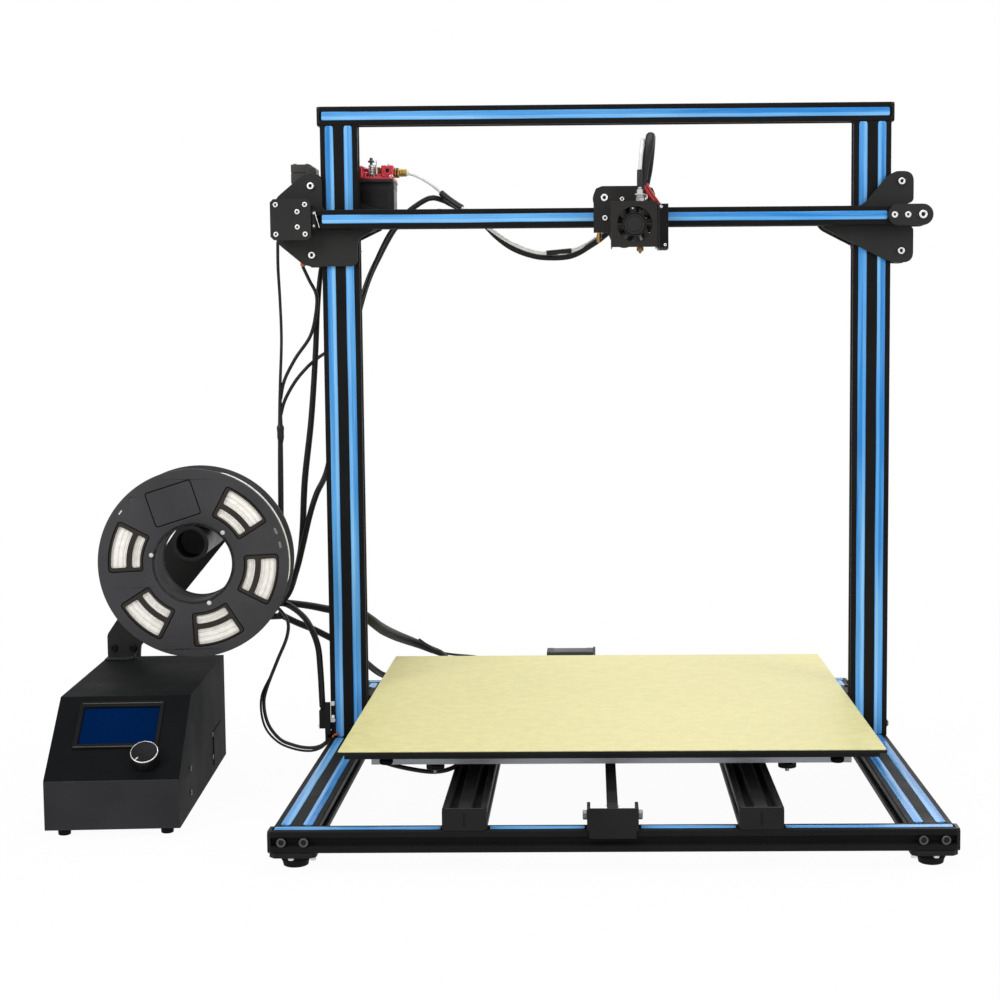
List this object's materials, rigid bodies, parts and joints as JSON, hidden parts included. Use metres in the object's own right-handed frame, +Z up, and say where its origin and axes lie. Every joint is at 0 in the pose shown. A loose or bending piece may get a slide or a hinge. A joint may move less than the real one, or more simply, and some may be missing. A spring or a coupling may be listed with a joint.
{
  "type": "fdm printer",
  "caption": "Desktop filament printer with a slotted frame, sliding bed, two-screw gantry, belt-driven fan-cooled print head and a separate control box holding the spool.",
  "frame": {"origin": "on the table, under the middle of the base frame, in the plane of the feet's undersides", "axes": "+X to the right seen from the front, +Y from the front of the printer to its back (the way the bed moves), +Z up (the way the gantry moves)"},
  "size_m": [0.9031, 0.7884, 0.72],
  "materials": {
    "frame_black": "matte black anodised aluminium extrusion",
    "sheet_black": "fine black powder coat on sheet metal",
    "box_coat": "satin black powder coat",
    "plastic_black": "moulded black plastic",
    "slot_blue": "glossy light blue slot cover",
    "rubber_black": "soft black rubber",
    "belt_black": "black toothed belt",
    "cable_black": "black cable sleeve",
    "steel": "zinc-plated steel",
    "motor_dark": "dark motor body",
    "screen": "dark blue display window",
    "red_anodised": "red anodised aluminium",
    "brass": "machined brass",
    "tube_white": "translucent white tube",
    "alu": "plain extruded aluminium",
    "bed_core": "dark heater plate edge",
    "bed_mat": "pale yellow build surface",
    "spool_plastic": "moulded charcoal plastic",
    "filament_white": "white filament windings",
    "wheel_plastic": "black polymer wheel",
    "knob_metal": "black machined aluminium"
  },
  "bodies": {
    "frame": {"frame_profiles": "frame_black", "frame_plastics": "plastic_black", "slot_covers": "slot_blue", "frame_brackets": "sheet_black", "rubber_feet": "rubber_black", "frame_screws": "steel", "frame_motors": "motor_dark", "y_belt": "belt_black", "link_cables": "cable_black", "box_shell": "box_coat", "lcd_screen": "screen", "spool_holder": "sheet_black"},
    "gantry": {"gantry_plates": "sheet_black", "x_beam": "frame_black", "x_slot_cover": "slot_blue", "gantry_bolts": "steel", "gantry_motors": "motor_dark", "x_limit_switch": "plastic_black", "x_belt": "belt_black", "extruder_block": "red_anodised", "brass_fittings": "brass"},
    "carriage": {"carriage_plate": "sheet_black", "fan_cover": "plastic_black", "hotend_metalwork": "alu", "nozzle": "brass", "bowden_tube": "tube_white", "hotend_harness": "cable_black"},
    "bed": {"bed_carriage": "alu", "bed_plate": "bed_core", "bed_surface": "bed_mat"},
    "z_wheel_l1_body": {"z_wheel_l1": "wheel_plastic"},
    "z_wheel_l2_body": {"z_wheel_l2": "wheel_plastic"},
    "z_wheel_l3_body": {"z_wheel_l3": "wheel_plastic"},
    "z_wheel_r1_body": {"z_wheel_r1": "wheel_plastic"},
    "z_wheel_r2_body": {"z_wheel_r2": "wheel_plastic"},
    "z_wheel_r3_body": {"z_wheel_r3": "wheel_plastic"},
    "x_wheel_1_body": {"x_wheel_1": "wheel_plastic"},
    "x_wheel_2_body": {"x_wheel_2": "wheel_plastic"},
    "x_wheel_3_body": {"x_wheel_3": "wheel_plastic"},
    "y_wheel_1_body": {"y_wheel_1": "wheel_plastic"},
    "y_wheel_2_body": {"y_wheel_2": "wheel_plastic"},
    "y_wheel_3_body": {"y_wheel_3": "wheel_plastic"},
    "y_wheel_4_body": {"y_wheel_4": "wheel_plastic"},
    "lead_screw_l_body": {"lead_screw_l": "steel"},
    "lead_screw_r_body": {"lead_screw_r": "steel"},
    "x_pulley_body": {"x_pulley": "alu"},
    "x_idler_body": {"x_idler": "alu"},
    "y_pulley_body": {"y_pulley": "alu"},
    "y_idler_body": {"y_idler": "alu"},
    "encoder_knob_body": {"encoder_knob": "knob_metal"},
    "level_knob_1_body": {"level_knob_1": "plastic_black"},
    "level_knob_2_body": {"level_knob_2": "plastic_black"},
    "level_knob_3_body": {"level_knob_3": "plastic_black"},
    "level_knob_4_body": {"level_knob_4": "plastic_black"},
    "power_rocker_body": {"power_rocker": "plastic_black"},
    "hotend_fan_body": {"hotend_fan": "plastic_black"},
    "blower_wheel_body": {"blower_wheel": "plastic_black"},
    "drive_gear_body": {"drive_gear": "steel"},
    "spool": {"spool_flanges": "spool_plastic", "filament": "filament_white"}
  },
  "joints": [
    {"name": "gantry_lift", "type": "slide", "parent": "frame", "child": "gantry", "axis": [0, 0, 1], "range_m": [-0.467, 0.03], "deforming": ["link_cables"]},
    {"name": "carriage_travel", "type": "slide", "parent": "gantry", "child": "carriage", "axis": [1, 0, 0], "range_m": [-0.285, 0.215], "deforming": ["bowden_tube", "hotend_harness"]},
    {"name": "bed_travel", "type": "slide", "parent": "frame", "child": "bed", "axis": [0, 1, 0], "range_m": [-0.25, 0.25], "deforming": ["link_cables"]},
    {"name": "z_wheel_l1_spin", "type": "hinge", "parent": "gantry", "child": "z_wheel_l1_body", "pos_m": [-0.3148, 0.032, 0.6356], "axis": [0, 1, 0], "continuous": true},
    {"name": "z_wheel_l2_spin", "type": "hinge", "parent": "gantry", "child": "z_wheel_l2_body", "pos_m": [-0.3148, 0.032, 0.5624], "axis": [0, 1, 0], "continuous": true},
    {"name": "z_wheel_l3_spin", "type": "hinge", "parent": "gantry", "child": "z_wheel_l3_body", "pos_m": [-0.2552, 0.032, 0.599], "axis": [0, 1, 0], "continuous": true},
    {"name": "z_wheel_r1_spin", "type": "hinge", "parent": "gantry", "child": "z_wheel_r1_body", "pos_m": [0.3148, 0.032, 0.6356], "axis": [0, 1, 0], "continuous": true},
    {"name": "z_wheel_r2_spin", "type": "hinge", "parent": "gantry", "child": "z_wheel_r2_body", "pos_m": [0.3148, 0.032, 0.5624], "axis": [0, 1, 0], "continuous": true},
    {"name": "z_wheel_r3_spin", "type": "hinge", "parent": "gantry", "child": "z_wheel_r3_body", "pos_m": [0.2552, 0.032, 0.599], "axis": [0, 1, 0], "continuous": true},
    {"name": "x_wheel_1_spin", "type": "hinge", "parent": "carriage", "child": "x_wheel_1_body", "pos_m": [-0.0015, 0.006, 0.6188], "axis": [0, 1, 0], "continuous": true},
    {"name": "x_wheel_2_spin", "type": "hinge", "parent": "carriage", "child": "x_wheel_2_body", "pos_m": [0.0403, 0.006, 0.6188], "axis": [0, 1, 0], "continuous": true},
    {"name": "x_wheel_3_spin", "type": "hinge", "parent": "carriage", "child": "x_wheel_3_body", "pos_m": [0.0194, 0.006, 0.5792], "axis": [0, 1, 0], "continuous": true},
    {"name": "y_wheel_1_spin", "type": "hinge", "parent": "bed", "child": "y_wheel_1_body", "pos_m": [-0.1618, -0.091, 0.046], "axis": [0, 0, 1], "continuous": true},
    {"name": "y_wheel_2_spin", "type": "hinge", "parent": "bed", "child": "y_wheel_2_body", "pos_m": [-0.1618, 0.029, 0.046], "axis": [0, 0, 1], "continuous": true},
    {"name": "y_wheel_3_spin", "type": "hinge", "parent": "bed", "child": "y_wheel_3_body", "pos_m": [0.1618, -0.091, 0.046], "axis": [0, 0, 1], "continuous": true},
    {"name": "y_wheel_4_spin", "type": "hinge", "parent": "bed", "child": "y_wheel_4_body", "pos_m": [0.1618, 0.029, 0.046], "axis": [0, 0, 1], "continuous": true},
    {"name": "lead_screw_l_spin", "type": "hinge", "parent": "frame", "child": "lead_screw_l_body", "pos_m": [-0.285, 0.066, 0.4], "axis": [0, 0, 1], "continuous": true},
    {"name": "lead_screw_r_spin", "type": "hinge", "parent": "frame", "child": "lead_screw_r_body", "pos_m": [0.285, 0.066, 0.4], "axis": [0, 0, 1], "continuous": true},
    {"name": "x_pulley_spin", "type": "hinge", "parent": "gantry", "child": "x_pulley_body", "pos_m": [-0.3335, 0.006, 0.599], "axis": [0, 1, 0], "continuous": true},
    {"name": "x_idler_spin", "type": "hinge", "parent": "gantry", "child": "x_idler_body", "pos_m": [0.3335, 0.006, 0.599], "axis": [0, 1, 0], "continuous": true},
    {"name": "y_pulley_spin", "type": "hinge", "parent": "frame", "child": "y_pulley_body", "pos_m": [0, 0.401, 0.046], "axis": [1, 0, 0], "continuous": true},
    {"name": "y_idler_spin", "type": "hinge", "parent": "frame", "child": "y_idler_body", "pos_m": [0, -0.348, 0.047], "axis": [1, 0, 0], "continuous": true},
    {"name": "encoder_knob_turn", "type": "hinge", "parent": "frame", "child": "encoder_knob_body", "pos_m": [-0.44688, -0.229, 0.06967], "axis": [0.0368, -0.6201, 0.7837], "continuous": true},
    {"name": "spool_turn", "type": "hinge", "parent": "frame", "child": "spool", "pos_m": [-0.43256, -0.04507, 0.2416], "axis": [-0.0593, 0.9982, 0], "continuous": true},
    {"name": "level_knob_1_turn", "type": "hinge", "parent": "bed", "child": "level_knob_1_body", "pos_m": [-0.168, -0.235, 0.065], "axis": [0, 0, 1], "continuous": true},
    {"name": "level_knob_2_turn", "type": "hinge", "parent": "bed", "child": "level_knob_2_body", "pos_m": [0.168, -0.235, 0.065], "axis": [0, 0, 1], "continuous": true},
    {"name": "level_knob_3_turn", "type": "hinge", "parent": "bed", "child": "level_knob_3_body", "pos_m": [-0.168, 0.173, 0.065], "axis": [0, 0, 1], "continuous": true},
    {"name": "level_knob_4_turn", "type": "hinge", "parent": "bed", "child": "level_knob_4_body", "pos_m": [0.168, 0.173, 0.065], "axis": [0, 0, 1], "continuous": true},
    {"name": "power_rocker_tilt", "type": "hinge", "parent": "frame", "child": "power_rocker_body", "pos_m": [-0.51435, 0.06027, 0.037], "axis": [0.9982, 0.0593, 0], "range_deg": [-14, 0]},
    {"name": "hotend_fan_spin", "type": "hinge", "parent": "carriage", "child": "hotend_fan_body", "pos_m": [0.0292, -0.05, 0.5885], "axis": [0, 1, 0], "continuous": true},
    {"name": "blower_wheel_spin", "type": "hinge", "parent": "carriage", "child": "blower_wheel_body", "pos_m": [0.0584, -0.036, 0.586], "axis": [1, 0, 0], "continuous": true},
    {"name": "drive_gear_spin", "type": "hinge", "parent": "gantry", "child": "drive_gear_body", "pos_m": [-0.251, 0.073, 0.655], "axis": [0, 0, 1], "continuous": true}
  ],
  "couplings": [
    {"joint": "z_wheel_l1_spin", "follows": "gantry_lift", "rad_per_m": 102.04},
    {"joint": "z_wheel_l2_spin", "follows": "gantry_lift", "rad_per_m": 102.04},
    {"joint": "z_wheel_l3_spin", "follows": "gantry_lift", "rad_per_m": -102.04},
    {"joint": "z_wheel_r1_spin", "follows": "gantry_lift", "rad_per_m": -102.04},
    {"joint": "z_wheel_r2_spin", "follows": "gantry_lift", "rad_per_m": -102.04},
    {"joint": "z_wheel_r3_spin", "follows": "gantry_lift", "rad_per_m": 102.04},
    {"joint": "x_wheel_1_spin", "follows": "carriage_travel", "rad_per_m": 102.04},
    {"joint": "x_wheel_2_spin", "follows": "carriage_travel", "rad_per_m": 102.04},
    {"joint": "x_wheel_3_spin", "follows": "carriage_travel", "rad_per_m": -102.04},
    {"joint": "y_wheel_1_spin", "follows": "bed_travel", "rad_per_m": -102.04},
    {"joint": "y_wheel_2_spin", "follows": "bed_travel", "rad_per_m": -102.04},
    {"joint": "y_wheel_3_spin", "follows": "bed_travel", "rad_per_m": 102.04},
    {"joint": "y_wheel_4_spin", "follows": "bed_travel", "rad_per_m": 102.04},
    {"joint": "lead_screw_l_spin", "follows": "gantry_lift", "rad_per_m": 785.4},
    {"joint": "lead_screw_r_spin", "follows": "gantry_lift", "rad_per_m": 785.4},
    {"joint": "x_pulley_spin", "follows": "carriage_travel", "rad_per_m": -148.15},
    {"joint": "x_idler_spin", "follows": "carriage_travel", "rad_per_m": -148.15},
    {"joint": "y_pulley_spin", "follows": "bed_travel", "rad_per_m": -148.15},
    {"joint": "y_idler_spin", "follows": "bed_travel", "rad_per_m": -148.15}
  ]
}
